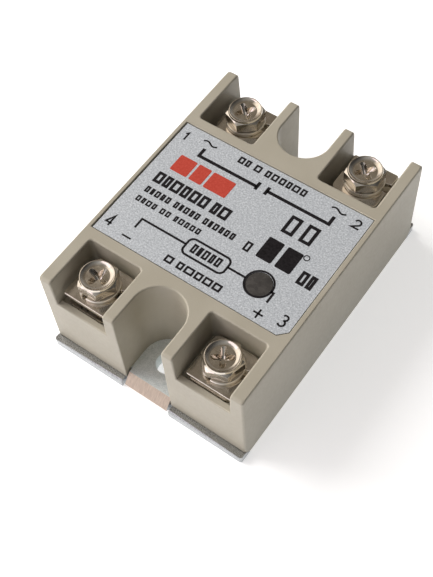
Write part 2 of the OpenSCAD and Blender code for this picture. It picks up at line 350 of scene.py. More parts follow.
class Nodes:
    """A material's nodes, with short calls for the ones that are used most."""

    def __init__(self, name):
        self.material = bpy.data.materials.new(name)
        self.material.use_nodes = True
        self.tree = self.material.node_tree
        self.tree.nodes.clear()
        self.shader = self.add("ShaderNodeBsdfPrincipled")
        output = self.add("ShaderNodeOutputMaterial")
        self.link(self.shader.outputs["BSDF"], output.inputs["Surface"])
        self.place = self.add("ShaderNodeTexCoord").outputs["Object"]

    def add(self, kind, **values):
        node = self.tree.nodes.new(kind)
        for key, value in values.items():
            setattr(node, key, value)
        return node

    def link(self, source, target):
        self.tree.links.new(source, target)

    def noise(self, per_mm, detail=3.0, roughness=0.5, vector=None):
        node = self.add("ShaderNodeTexNoise")
        node.inputs["Scale"].default_value = per_mm / MM
        node.inputs["Detail"].default_value = detail
        node.inputs["Roughness"].default_value = roughness
        self.link(vector or self.place, node.inputs["Vector"])
        return node.outputs["Fac"]

    def cells(self, per_mm):
        node = self.add("ShaderNodeTexVoronoi")
        node.inputs["Scale"].default_value = per_mm / MM
        self.link(self.place, node.inputs["Vector"])
        return node.outputs["Color"]

    def span(self, value, low, high, start=0.0, end=1.0):
        """value mapped from start..end to low..high."""
        node = self.add("ShaderNodeMapRange")
        self.link(value, node.inputs["Value"])
        for key, number in (
            ("From Min", start),
            ("From Max", end),
            ("To Min", low),
            ("To Max", high),
        ):
            node.inputs[key].default_value = number
        return node.outputs["Result"]

    def ramp(self, value, stops):
        node = self.add("ShaderNodeValToRGB")
        self.link(value, node.inputs["Fac"])
        elements = node.color_ramp.elements
        while len(elements) < len(stops):
            elements.new(0.5)
        for element, (position, colour) in zip(elements, stops):
            element.position = position
            element.color = (*colour, 1)
        return node.outputs["Color"]

    def blend(self, factor, first, second):
        """Mixes two colours, each a socket or three numbers."""
        node = self.add("ShaderNodeMix", data_type="RGBA")
        for key, value in ((0, factor), (6, first), (7, second)):
            if isinstance(value, bpy.types.NodeSocket):
                self.link(value, node.inputs[key])
            elif isinstance(value, tuple):
                node.inputs[key].default_value = (*value, 1)
            else:
                node.inputs[key].default_value = value
        return node.outputs[2]

    def bump(self, height, strength, distance_mm):
        node = self.add("ShaderNodeBump")
        node.inputs["Strength"].default_value = strength
        node.inputs["Distance"].default_value = distance_mm * MM
        self.link(height, node.inputs["Height"])
        self.link(node.outputs["Normal"], self.shader.inputs["Normal"])

    def set(self, **values):
        """Sets sockets of the shader: a number, three numbers or a socket."""
        for key, value in values.items():
            socket = self.shader.inputs[key.replace("_", " ")]
            if isinstance(value, bpy.types.NodeSocket):
                self.link(value, socket)
            elif isinstance(value, tuple):
                socket.default_value = (*value, 1)
            else:
                socket.default_value = value
        return self.material


def housing_plastic():
    """Beige moulded plastic with a faint mottle and a fine grain."""
    n = Nodes("housing_plastic")
    mottle = n.noise(0.12, detail=2.0)
    grain = n.noise(5.0, detail=2.0)
    base = n.ramp(mottle, [(0.3, (0.405, 0.372, 0.296)), (0.7, (0.445, 0.412, 0.334))])
    base = n.blend(n.span(grain, 0.0, 0.16, 0.35, 0.75), base, (0.33, 0.30, 0.24))
    n.bump(grain, 0.12, 0.02)
    return n.set(
        Base_Color=base,
        Roughness=n.span(n.noise(1.2), 0.36, 0.5, 0.3, 0.7),
        IOR=1.5,
    )


def galvanised(name, dark, light, metallic, roughness):
    """Zinc coat with fine speckle over larger, fainter patches."""
    n = Nodes(name)
    fine = n.noise(5.5, detail=4.0, roughness=0.7)
    middle = tuple((d + e) / 2 for d, e in zip(dark, light))
    speckle = n.ramp(fine, [(0.32, dark), (0.5, middle), (0.66, light)])
    grey = n.add("ShaderNodeRGBToBW")
    n.link(n.cells(1.7), grey.inputs["Color"])
    patch = n.ramp(grey.outputs["Val"], [(0.2, middle), (0.8, light)])
    n.bump(fine, 0.35, 0.04)
    return n.set(
        Base_Color=n.blend(0.35, speckle, patch),
        Metallic=metallic,
        Roughness=n.span(fine, roughness - 0.1, roughness + 0.14, 0.3, 0.7),
    )


def bare_cut():
    """The plate's cut edge, where the base metal shows."""
    n = Nodes("bare_cut_edge")
    drag = n.add("ShaderNodeMapping")
    drag.inputs["Scale"].default_value = (6.0, 1.0, 1.0)
    n.link(n.place, drag.inputs["Vector"])
    streak = n.noise(0.7, detail=4.0, vector=drag.outputs["Vector"])
    base = n.ramp(streak, [(0.3, (0.50, 0.40, 0.33)), (0.7, (0.66, 0.55, 0.46))])
    n.bump(streak, 0.2, 0.03)
    return n.set(Base_Color=base, Metallic=0.35, Roughness=n.span(streak, 0.45, 0.6))


def nickel(name, dark, light, smooth, rough):
    """Plated metal, whose polish goes from smooth to rough in soft patches."""
    n = Nodes(name)
    haze = n.noise(0.7, detail=3.0)
    grain = n.noise(9.0, detail=3.0, roughness=0.65)
    n.bump(grain, 0.02, 0.01)
    return n.set(
        Base_Color=n.ramp(haze, [(0.3, dark), (0.7, light)]),
        Metallic=1.0,
        Roughness=n.span(haze, smooth, rough, 0.3, 0.7),
    )


def label_film():
    """Silver film with a coarse sparkle under a thin clear coat."""
    n = Nodes("label_film")
    flake = n.noise(3.2, detail=3.0, roughness=0.75)
    base = n.ramp(
        flake,
        [(0.3, (0.40, 0.43, 0.46)), (0.5, (0.58, 0.62, 0.66)), (0.7, (0.86, 0.90, 0.94))],
    )
    return n.set(
        Base_Color=base,
        Metallic=0.25,
        Roughness=n.span(flake, 0.5, 0.35, 0.3, 0.7),
        Coat_Weight=0.15,
        Coat_Roughness=0.25,
    )


def ink(name, dark, light):
    n = Nodes(name)
    patch = n.noise(3.0, detail=3.0)
    base = n.ramp(patch, [(0.3, dark), (0.75, light)])
    return n.set(Base_Color=base, Roughness=n.span(patch, 0.35, 0.5), Specular_IOR_Level=0.15)


def speckled(name, dark, light, per_mm, roughness, metallic=0.0):
    """A plain finish with a little colour variation and grain."""
    n = Nodes(name)
    patch = n.noise(per_mm, detail=4.0)
    n.bump(patch, 0.1, 0.03)
    return n.set(
        Base_Color=n.ramp(patch, [(0.3, dark), (0.7, light)]),
        Metallic=metallic,
        Roughness=n.span(patch, roughness - 0.05, roughness + 0.08, 0.3, 0.7),
    )


# --- Housing ---------------------------------------------------------------------------------


def slot_prism(r, end, z0, z1):
    """A mounting slot's shape, open at one end of the relay."""
    if end < 0:
        outline = [(-r, -BEYOND_Y), (r, -BEYOND_Y)] + arc(0, -SLOT_Y, r, 0, 180, 32)
    else:
        outline = [(r, BEYOND_Y), (-r, BEYOND_Y)] + arc(0, SLOT_Y, r, 180, 360, 32)
    return prism(outline, z0, z1)


def pocket_outline(n, end_y, z):
    """A terminal pocket's outline, which narrows a little on the way down."""
    side = 1 if n in (2, 3) else -1
    along = 1 if n <= 2 else -1
    draft = POCKET_DRAFT * (HOUSING_H - z)
    wider = POCKET_FAR_WIDER if n <= 2 else 0.0
    x0, x1 = sorted((side * (POCKET_IN_X + draft - wider), side * (POCKET_OUT_X - draft + wider)))
    back = (POCKET_FAR_BACK if n <= 2 else POCKET_NEAR_BACK) + along * draft
    r = POCKET_CORNER_R
    if n > 2:
        corners = arc(x1 - r, back - r, r, 0, 90, 8) + arc(x0 + r, back - r, r, 90, 180, 8)
        return [(x0, -end_y), (x1, -end_y)] + corners
    corners = arc(x0 + r, back + r, r, 180, 270, 8) + arc(x1 - r, back + r, r, 270, 360, 8)
    return [(x1, end_y), (x0, end_y)] + corners


def pocket_solids(n):
    """One terminal pocket: behind its sill, and above the sill out through the end."""
    spans = ((HOUSING_END_Y - SILL_T, SEAT_Z, SILL_Z), (BEYOND_Y, SILL_Z, ABOVE_ALL_Z))
    return [
        stacked([(pocket_outline(n, end_y, z), z) for z in (z0, z1)]) for end_y, z0, z1 in spans
    ]


def skirt_cutter(end):
    """Cuts a side skirt's lower corner at one end, and the end wall's foot."""
    y = end * HOUSING_END_Y
    beyond = y + end * 2 * OVERSHOOT
    points = [
        (beyond, SKIRT_Z - OVERSHOOT),
        (y - end * SKIRT_CUT, SKIRT_Z - OVERSHOOT),
        (y - end * SKIRT_CUT, SKIRT_Z),
        (y, END_BOTTOM_Z),
        (beyond, END_BOTTOM_Z),
    ]
    if end > 0:
        points.reverse()
    bm = prism(points, -BEYOND_X, BEYOND_X)
    bm.transform(ACROSS)
    return bm


def rimmed_block(low, high):
    """The housing's outside, whose top rim is rounder at the two ends."""
    outlines = [(rounded(low.x, low.y, high.x, high.y, CORNER_R), SKIRT_Z)]
    for i in range(RIM_STEPS + 1):
        turn = math.pi / 2 * i / RIM_STEPS
        x = RIM_SIDE * (1 - math.cos(turn))
        y = RIM_END * (1 - math.cos(turn))
        z = high.z - RIM_DROP * (1 - math.sin(turn))
        outlines.append((rounded(low.x + x, low.y + y, high.x - x, high.y - y, CORNER_R), z))
    return stacked(outlines)


def inside_cutters(low, high):
    """The inner space: low under the terminals, high between the two rows of pockets."""
    inner_x = high.x - SIDE_WALL
    whole = rectangle(-inner_x, low.y + END_WALL, inner_x, high.y - END_WALL)
    slot_walls = [slot_prism(SLOT_WALL_R, end, PLATE_T, ABOVE_ALL_Z) for end in ENDS]
    lower = combined(prism(whole, 0, SEAT_Z - FLOOR_T), slot_walls)
    centre = rectangle(
        -inner_x, POCKET_NEAR_BACK + BACK_WALL, inner_x, POCKET_FAR_BACK - BACK_WALL
    )
    return [lower, prism(centre, SKIN, high.z - ROOF_T)]


def end_cutters(low, high):
    """The gap under each end wall, the skirts' corners and the two mounting slots."""
    inner_x = high.x - SIDE_WALL
    feet = [
        prism(rectangle(-inner_x, y - OVERSHOOT, inner_x, y + OVERSHOOT), -OVERSHOOT, END_BOTTOM_Z)
        for y in (low.y, high.y)
    ]
    skirts = [skirt_cutter(end) for end in ENDS]
    return feet + skirts + [slot_prism(SLOT_R, end, -OVERSHOOT, ABOVE_ALL_Z) for end in ENDS]


def terminal_cutters(n):
    """One terminal's pocket, and the hole in its floor for the plate's collar."""
    hub = middle_mm(f"clamp_washer_{n}")
    hole = prism(disc(hub.x, hub.y, COLLAR_HOLE_R), SEAT_Z - COLLAR_HOLE_D, SEAT_Z + SKIN)
    return pocket_solids(n) + [hole]


def label_outline(grow):
    """The label's outline, with the corner cut by terminal 3."""
    low, high = box_mm("label")
    x, y0, y1 = high.x + grow, low.y - grow, high.y + grow
    return [(-x, y0), (x - LABEL_CUT, y0), (x, y0 + LABEL_CUT), (x, y1), (-x, y1)]


def label_cutters(top):
    """The label's recess, the shadow gap round it, wider on the left, and the lens's hole."""
    above = top + OVERSHOOT
    gap_z = top - SHADOW_GAP_D
    low, high = box_mm("label")
    window = middle_mm("led_window")
    side_gap = rectangle(low.x - SHADOW_GAP_W, low.y - RECESS_GAP, low.x, high.y)
    round_gap = combined(
        prism(label_outline(RECESS_GAP), gap_z, above),
        [prism(label_outline(-SHADOW_GAP_INSET), 0, top - RECESS_D)],
    )
    return [
        prism(label_outline(RECESS_GAP), top - RECESS_D, above),
        round_gap,
        prism(side_gap, gap_z, above),
        prism(disc(window.x, window.y, LENS_HOLE_R), top - ROOF_T - OVERSHOOT, above),
    ]


def housing_shape():
    low, high = box_mm("housing")
    cutters = inside_cutters(low, high) + end_cutters(low, high)
    for n in TERMINALS:
        cutters += terminal_cutters(n)
    return combined(rimmed_block(low, high), cutters + label_cutters(high.z))


def housing_roundness(a, b):
    """How far the housing's edge from a to b is rounded, in millimetres."""
    mid = (a + b) / 2
    low, high = box_mm("label")
    by_label = low.x - LABEL_ZONE < mid.x < high.x + LABEL_ZONE
    by_label = by_label and low.y - LABEL_ZONE < mid.y < high.y + LABEL_ZONE
    if by_label:
        return RECESS_ROUND if mid.z > box_mm("housing")[1].z - TOUCH else 0.0
    if abs(mid.z - SILL_Z) < SILL_ZONE:
        return SILL_ROUND
    if mid.z > SILL_Z:
        return CUT_ROUND
    return FOOT_ROUND if abs(mid.y) > END_ZONE_Y or mid.z < END_BOTTOM_Z + TOUCH else 0.0


def make_housing(plastic):
    bm = housing_shape()
    weigh_edges(bm, housing_roundness, CUT_ROUND)
    obj = piece("housing_shell", bm, "relay", [plastic], ["housing"])
    round_edges(obj, CUT_ROUND, limit="WEIGHT", steps=ROUND_STEPS)


# --- Base plate ------------------------------------------------------------------------------


def tongue_prism(end):
    """The cut tongue at one end, level with the plate's thick centre."""
    points = [
        (end * SLOT_Y, 0.0),
        (end * TONGUE_FOOT_Y, 0.0),
        (end * TONGUE_END_Y, TONGUE_END_Z),
        (end * TONGUE_TOP_Y, PLATE_T),
        (end * SLOT_Y, PLATE_T),
    ]
    if end < 0:
        points.reverse()
    bm = prism(points, -TONGUE_W / 2, TONGUE_W / 2)
    bm.transform(ACROSS)
    return bm


def ear_cutter(side):
    """Frees the side skirt: only the flange's ears reach out beside the thick centre."""
    right = [
        (EAR_FOOT_Y, -OVERSHOOT), (EAR_FOOT_Y, SKIRT_Z), (EAR_Y, FLANGE_T), (EAR_Y, PLATE_T)
    ]
    left = [(-y, z) for y, z in reversed(right)]
    x0, x1 = sorted((side * CORE_X, side * BEYOND_X))
    bm = prism(right + left, x0, x1)
    bm.transform(ACROSS)
    return bm


def flange_shape():
    """The thin flange, open at each end for the tongue and beside the housing's skirts."""
    low, high = box_mm("base_plate")
    flange = prism(rounded(low.x, low.y, high.x, high.y, PLATE_CORNER_R), 0, FLANGE_T)
    half = TONGUE_W / 2 + TONGUE_GAP
    cutters = [ear_cutter(side) for side in SIDES]
    for end in ENDS:
        y0, y1 = sorted((end * (high.y - TONGUE_GAP_L), end * (high.y + OVERSHOOT)))
        cutters.append(prism(rectangle(-half, y0, half, y1), -OVERSHOOT, PLATE_T + OVERSHOOT))
    return combined(flange, cutters)


def plate_roundness(a, b):
    """How far the plate's edge from a to b is rounded: only the flange's upper outer edge."""
    mid = (a + b) / 2
    level = abs(a.z - b.z) < 2 * TOUCH and mid.z > 2 * TOUCH
    outer = abs(mid.y) > box_mm("base_plate")[1].y - TOUCH and abs(mid.x) < CORE_X
    return FLANGE_ROUND if level and outer else 0.0


def make_base_plate(zinc, cut, bright_zinc):
    """Thick centre, flange and tongues, with bare metal on the tongues' cut ends."""
    core = prism(rectangle(-CORE_X, -CORE_Y, CORE_X, CORE_Y), 0, PLATE_T)
    solid = combined(flange_shape(), [core] + [tongue_prism(end) for end in ENDS], "UNION")
    holes = [
        prism(disc(0, end * SLOT_Y, HOLE_R), -OVERSHOOT, PLATE_T + OVERSHOOT) for end in ENDS
    ]
    bm = combined(solid, holes)
    for face in bm.faces:
        mid = face.calc_center_median()
        beyond_core = abs(mid.y) > CORE_Y + TOUCH
        in_tongue = abs(mid.x) < TONGUE_W / 2 - TOUCH
        if beyond_core and in_tongue and abs(face.normal.y) > 0.5:
            face.material_index = 1
        elif beyond_core and not in_tongue:
            face.material_index = 2
    weigh_edges(bm, plate_roundness, FLANGE_ROUND)
    materials = [zinc, cut, bright_zinc]
    obj = piece("mounting_plate", bm, "relay", materials, ["base_plate"])
    round_edges(obj, FLANGE_ROUND, limit="WEIGHT", steps=4)


# --- Terminals -------------------------------------------------------------------------------


def hexagon_radius(angle):
    """Distance from the axis to the hexagon's side at an angle in radians."""
    sixth = math.pi / 3
    off = (angle + sixth / 2) % sixth - sixth / 2
    return HEAD_AF / 2 / math.cos(off)


def head_shoulder(angle):
    """Top of the head's flats, lower at the corners."""
    return HEAD_H - SHOULDER_DROP - (hexagon_radius(angle) - HEAD_AF / 2) * FLAT_SLOPE


def head_foot(angle):
    """Bottom of the head's flats, higher at the corners."""
    return FOOT_RISE + (hexagon_radius(angle) - HEAD_AF / 2) * FLAT_SLOPE


def shank_profile():
    """Radii and heights up the shank, whose thread is a row of shallow grooves."""
    root = SHANK_R - THREAD_DEPTH
    profile = [(SHANK_TIP_R, -SHANK_L), (root, -SHANK_L + THREAD_PITCH / 2)]
    for i in range(int((SHANK_L - THREAD_START - THREAD_END) / THREAD_PITCH)):
        z = -SHANK_L + THREAD_START + i * THREAD_PITCH
        profile += [(root, z), (SHANK_R, z + THREAD_PITCH / 2)]
    return profile + [(root, -THREAD_END), (root, 0.0)]


def head_profile():
    """Radii and heights from under the head, up its flats, over the rim and into the dish."""
    floor = HEAD_H - DISH_D
    flats = [(HEAD_AF / 2 - 0.15, 0.0)]
    flats += [(hexagon_radius, head_foot), (hexagon_radius, head_shoulder)]
    # Out from the rim's radius, and down from the head's top
    rim = ((0.06, 0.4), (0.0, 0.15), (-0.06, 0.03), (-0.15, 0.0), (-0.25, 0.03), (-0.5, 0.25))
    crown = [(RIM_R + out, HEAD_H - drop) for out, drop in rim]
    return flats + crown + [(DISH_R, floor + 0.04), (DISH_R - 0.15, floor)]


def cross_bar(angle):
    """One tapered bar of the cross recess."""
    dish_z = HEAD_H - DISH_D
    bottom = dish_z - CROSS_D
    # Height, half length and half width, from the bottom up
    levels = (
        (bottom, 0.5, 0.35),
        (bottom + 0.35, 1.1, 0.42),
        (dish_z, CROSS_L / 2, CROSS_W / 2),
        (dish_z + CROSS_MOUTH, CROSS_L / 2 + 0.25, CROSS_W / 2 + 0.1),
    )
    outlines = []
    for z, half_l, half_w in levels:
        points = arc(half_l - half_w, 0, half_w, -90, 90, 6)
        points += arc(-half_l + half_w, 0, half_w, 90, 270, 6)
        outlines.append((points, z))
    bm = stacked(outlines)
    bm.transform(Matrix.Rotation(math.radians(angle), 4, "Z"))
    return bm


def make_screw(n, metal):
    """One terminal screw, turned as far as it stands in the photo."""
    node = f"terminal_screw_{n}"
    hub = middle_mm(node)
    under_head = box_mm(node)[1].z - HEAD_H
    solid = turned(shank_profile() + head_profile(), SCREW_STEPS)
    bm = combined(solid, [cross_bar(45), cross_bar(135)])
    bm.transform(Matrix.Rotation(math.radians(HEAD_TURN[n]), 4, "Z"))
    bm.transform(Matrix.Translation((hub.x, hub.y, under_head)))
    obj = piece(f"screw_{n}", bm, f"screw_{n}", [metal], [node], SCREW_SMOOTH)
    round_edges(obj, SCREW_ROUND)


def make_lock_washer(n, metal):
    """Split ring, whose two ends stand a little apart in height."""
    node = f"lock_washer_{n}"
    bottom = box_mm(node)[0].z
    hub = middle_mm(f"terminal_screw_{n}")
    bm = bmesh.new()
    loops = []
    for i in range(LOCK_STEPS + 1):
        share = i / LOCK_STEPS
        a = math.radians(LOCK_SPLIT[n] + LOCK_GAP / 2 + (360 - LOCK_GAP) * share)
        z0 = bottom + LOCK_RISE * share
        z1 = z0 + LOCK_T - LOCK_RISE
        section = [
            (LOCK_HOLE_R, z0), (LOCK_R - LOCK_CHAMFER, z0), (LOCK_R, z0 + LOCK_CHAMFER),
            (LOCK_R, z1 - LOCK_CHAMFER), (LOCK_R - LOCK_CHAMFER, z1), (LOCK_HOLE_R, z1),
        ]
        loops.append([
            bm.verts.new((hub.x + r * math.cos(a), hub.y + r * math.sin(a), z)) for r, z in section
        ])
    close_stack(bm, loops)
    bmesh.ops.recalc_face_normals(bm, faces=bm.faces)
    obj = piece(f"lock_ring_{n}", bm, f"clamp_{n}", [metal], [node])
    round_edges(obj, LOCK_ROUND)


def clamp_outline(low, high, towards_label):
    """A clamp washer's outline, rounder on the side of the label."""
    below, above = (CLAMP_FRONT_R, CLAMP_BACK_R)[::towards_label]
    x0, x1, steps = low.x, high.x, 8
    return (
        arc(x1 - below, low.y + below, below, -90, 0, steps)
        + arc(x1 - above, high.y - above, above, 0, 90, steps)
        + arc(x0 + above, high.y - above, above, 90, 180, steps)
        + arc(x0 + below, low.y + below, below, 180, 270, steps)
    )


def make_clamp_washer(n, metal):
    """Square washer with a round-ended notch in each side edge."""
    node = f"clamp_washer_{n}"
    low, high = box_mm(node)
    centre = middle_mm(node)
    z0, z1 = low.z - OVERSHOOT, high.z + OVERSHOOT
    y = centre.y + NOTCH_SHIFT[n]
    cutters = [prism(disc(centre.x, centre.y, LOCK_HOLE_R), z0, z1)]
    for side in SIDES:
        outer = centre.x + side * (NOTCH_X + 2 * NOTCH_R)
        outline = arc(centre.x + side * NOTCH_X, y, NOTCH_R, side * 90, side * 90 + 180, 12)
        outline += [(outer, y - side * NOTCH_R), (outer, y + side * NOTCH_R)]
        cutters.append(prism(outline, z0, z1))
    plate = prism(clamp_outline(low, high, 1 if n > 2 else -1), low.z, high.z)
    bm = combined(plate, cutters)
    obj = piece(f"clamp_plate_{n}", bm, f"clamp_{n}", [metal], [node])
    round_edges(obj, CLAMP_ROUND, steps=3)


# --- Label and lens --------------------------------------------------------------------------


def make_label(film):
    """The printed film, with a hole for the lens and one corner cut."""
    low, high = box_mm("label")
    window = middle_mm("led_window")
    hole = prism(disc(window.x, window.y, LENS_HOLE_R), low.z - OVERSHOOT, high.z + OVERSHOOT)
    bm = combined(prism(label_outline(0.0), low.z, high.z), [hole])
    obj = piece("label_sheet", bm, "relay", [film], ["label"])
    round_edges(obj, LABEL_ROUND)


def make_window(lens):
    """Smoked lens with a gently domed face and a flange under the roof."""
    low, high = box_mm("led_window")
    centre = middle_mm("led_window")
    flange_r = (high.x - low.x) / 2
    flange_z = low.z + LENS_FLANGE_T
    flange = [(LENS_FOOT_R, low.z), (flange_r, low.z), (flange_r, flange_z), (LENS_R, flange_z)]
    dome = ((0.0, 0.16), (0.06, 0.08), (0.5, 0.03), (1.3, 0.0))
    bm = turned(flange + [(LENS_R - inset, high.z - drop) for inset, drop in dome], LENS_STEPS)
    bm.transform(Matrix.Translation((centre.x, centre.y, 0)))
    piece("window_lens", bm, "relay", [lens], ["led_window"])


# --- Print on the label ----------------------------------------------------------------------
# Words and marks are drawn as rows of plain boxes; only digits and circuit signs are kept.

INK_T = 0.02
LENS_RING_IN_R = 2.56
LENS_RING_OUT_R = 2.95
BOLD = 0.68
THIN = 0.44
SIGN = 0.36
TINY_GAP = 0.34
SOLID_CORNER_R = 0.3

# Width of each box in turn, so that a row doesn't look like a ruler
BOX_SHARES = (1.0, 0.8, 1.15, 0.9, 1.05)

# Rows of hollow boxes: x from and to, y from and to, boxes in each word, line width
BOX_ROWS = (
    (-7.6, 7.7, 11.4, 13.0, (2, 1, 6), 0.4),
    (-18.6, -1.5, -1.2, 1.5, (6, 2), 0.62),
    (-18.4, 2.1, -4.0, -2.5, (5, 5, 6), 0.38),
    (-18.6, -3.8, -6.5, -5.2, (4, 2, 5), 0.34),
    (-3.1, 3.3, -10.3, -8.3, (5,), 0.42),
    (-5.9, 6.5, -14.5, -12.9, (1, 5), 0.42),
    (4.6, 5.9, -4.6, -2.4, (1,), 0.42),
    (16.5, 19.7, -5.2, -2.2, (2,), 0.6),
)

# Tall hollow boxes and solid blocks: x from and to, y from and to
TALL_BOXES = ((8.2, 10.7, 2.6, 6.9), (12.0, 14.5, 2.6, 6.9))
BLACK_BLOCKS = ((7.4, 10.7, -4.4, 0.6), (11.5, 14.8, -4.4, 0.6))
RED_BLOCKS = ((-17.5, -13.6, 2.95, 7.0), (-13.1, -10.2, 2.95, 7.0), (-9.7, -4.6, 2.95, 7.0))


def sideways(points, shift, closed):
    """The points moved to the left of their path, with mitred corners."""
    path = [Vector(p) for p in points]
    last = len(path) - 1
    moved = []
    for i, p in enumerate(path):
        before = path[i - 1] if i > 0 or closed else None
        after = path[(i + 1) % len(path)] if i < last or closed else None
        into = (p - before).normalized() if before else (after - p).normalized()
        away = (after - p).normalized() if after else into
        first = Vector((-into.y, into.x))
        second = Vector((-away.y, away.x))
        miter = (first + second) / (1 + first.dot(second))
        moved.append(tuple(p + miter * shift))
    return moved


def band(outer, inner):
    """A flat closed ring of ink between two outlines of equal length."""
    bm = bmesh.new()
    walls = [[bm.verts.new((x, y, z)) for x, y in outline]
             for outline, z in ((outer, 0.0), (outer, INK_T), (inner, INK_T), (inner, 0.0))]
    for i, wall in enumerate(walls):
        bridge(bm, wall, walls[(i + 1) % len(walls)])
    return bm


def stroke(points, width, closed=False):
    """An inked line of even width, one ink layer above z 0."""
    right = sideways(points, -width / 2, closed)
    left = sideways(points, width / 2, closed)
    if closed:
        return band(right, left)
    return prism(right + left[::-1], 0.0, INK_T)


def hollow_box(x0, x1, y0, y1, width):
    half = width / 2
    return stroke(rectangle(x0 + half, y0 + half, x1 - half, y1 - half), width, closed=True)


def solid_box(x0, x1, y0, y1):
    return prism(rounded(x0, y0, x1, y1, SOLID_CORNER_R, 4), 0.0, INK_T)


def box_row(x0, x1, y0, y1, words, width):
    """Hollow boxes between x0 and x1 in place of lettering, grouped like words."""
    boxes = [BOX_SHARES[i % len(BOX_SHARES)] for i in range(sum(words))]
    gaps = TINY_GAP * (len(boxes) - 1) + 2 * TINY_GAP * (len(words) - 1)
    unit = (x1 - x0 - gaps) / sum(boxes)
    word_ends = {sum(words[: i + 1]) for i in range(len(words))}
    shapes = []
    x = x0
    for i, share in enumerate(boxes):
        shapes.append(hollow_box(x, x + share * unit, y0, y1, width))
        x += share * unit + TINY_GAP
        if i + 1 in word_ends:
            x += 2 * TINY_GAP
    return shapes


def wave(x0, x1, y, height):
    """The alternating current sign."""
    steps = 16
    share = [i / steps for i in range(steps + 1)]
    return [(x0 + (x1 - x0) * u, y + height * math.sin(2 * math.pi * u)) for u in share]


def digit_lines():
    """The terminal numbers, each in its corner of the label."""
    one = [(-19.95, 11.7), (-19.45, 12.1), (-19.45, 10.2)]
    two = arc(19.15, 11.9, 0.62, 165, -35, 8) + [(18.42, 10.65), (19.95, 10.65)]
    three_top = arc(19.2, -12.2, 0.55, 150, -90, 8)
    three_low = arc(19.1, -13.38, 0.64, 90, -150, 8)
    four = [(-19.15, -14.0), (-19.15, -11.6), (-20.1, -13.3), (-18.75, -13.3)]
    return [one, two, three_top, three_low, four]


def sign_lines():
    """Alternating current at terminals 1 and 2, minus at 4 and plus at 3."""
    minus = [(-15.65, -14.1), (-13.6, -14.1)]
    plus_level = [(13.7, -14.05), (15.7, -14.05)]
    plus_upright = [(14.72, -15.05), (14.72, -13.05)]
    waves = [wave(-16.0, -12.8, 12.15, 0.33), wave(13.2, 16.4, 12.3, 0.33)]
    return [*waves, minus, plus_level, plus_upright]


def load_lines():
    """The load circuit: a line from each terminal to a contact bar in the middle."""
    left = [(-14.57, 10.6), (-14.57, 8.6), (-1.02, 8.6)]
    right = [(14.8, 10.75), (14.8, 8.75), (1.13, 8.75)]
    return [left, right, *([(x, 7.85), (x, 9.78)] for x in (-1.02, 1.13))]


def control_lines(lens):
    """The control circuit: from terminal 4 to the input's frame, and on past the lens."""
    start = [(-14.6, -11.6), (-14.6, -9.3), (-4.55, -9.3)]
    middle = [(4.8, -9.2), (lens.x - 2.8, -9.2)]
    last = [(lens.x + 2.6, -9.15), (14.68, -9.15), (14.68, -11.4)]
    return [start, middle, last]


def black_shapes(lens):
    shapes = [stroke(points, SIGN) for points in digit_lines() + sign_lines()]
    shapes += [stroke(points, BOLD) for points in load_lines()]
    shapes += [stroke(points, THIN) for points in control_lines(lens)]
    shapes.append(stroke(rounded(-4.45, -11.2, 4.75, -7.5, 1.1), THIN, closed=True))
    outer, inner = (disc(lens.x, lens.y, r) for r in (LENS_RING_OUT_R, LENS_RING_IN_R))
    shapes.append(band(outer, inner))
    for row in BOX_ROWS:
        shapes += box_row(*row)
    shapes += [hollow_box(*box, BOLD) for box in TALL_BOXES]
    shapes += [solid_box(*block) for block in BLACK_BLOCKS]
    shapes.append(stroke(disc(15.5, 0.3, 0.55, 20), 0.2, closed=True))
    return shapes


def merged(shapes):
    """All the shapes as one mesh."""
    bm = bmesh.new()
    mesh = bpy.data.meshes.new("temporary")
    for shape in shapes:
        shape.to_mesh(mesh)
        shape.free()
        bm.from_mesh(mesh)
    bpy.data.meshes.remove(mesh)
    return bm


def make_print(black, red):
    top = box_mm("label")[1].z
    for name, shapes, ink_material in (
        ("label_print_black", black_shapes(middle_mm("led_window")), black),
        ("label_print_red", [solid_box(*block) for block in RED_BLOCKS], red),
    ):
        bm = merged(shapes)
        bm.transform(Matrix.Translation((0, 0, top)))
        piece(name, bm, "relay", [ink_material])


# --- Carried-over CAD nodes ------------------------------------------------------------------


def dress_node(frame, node, material, rounding=0.0):
    """Gives a CAD node its finish, and rounds its edges a little."""
    obj = frame["nodes"][node]
    obj.data.materials.clear()
    obj.data.materials.append(material)
    if rounding:
        weld = obj.modifiers.new("weld", "WELD")
        weld.merge_threshold = 0.002 * MM
        round_edges(obj, rounding)


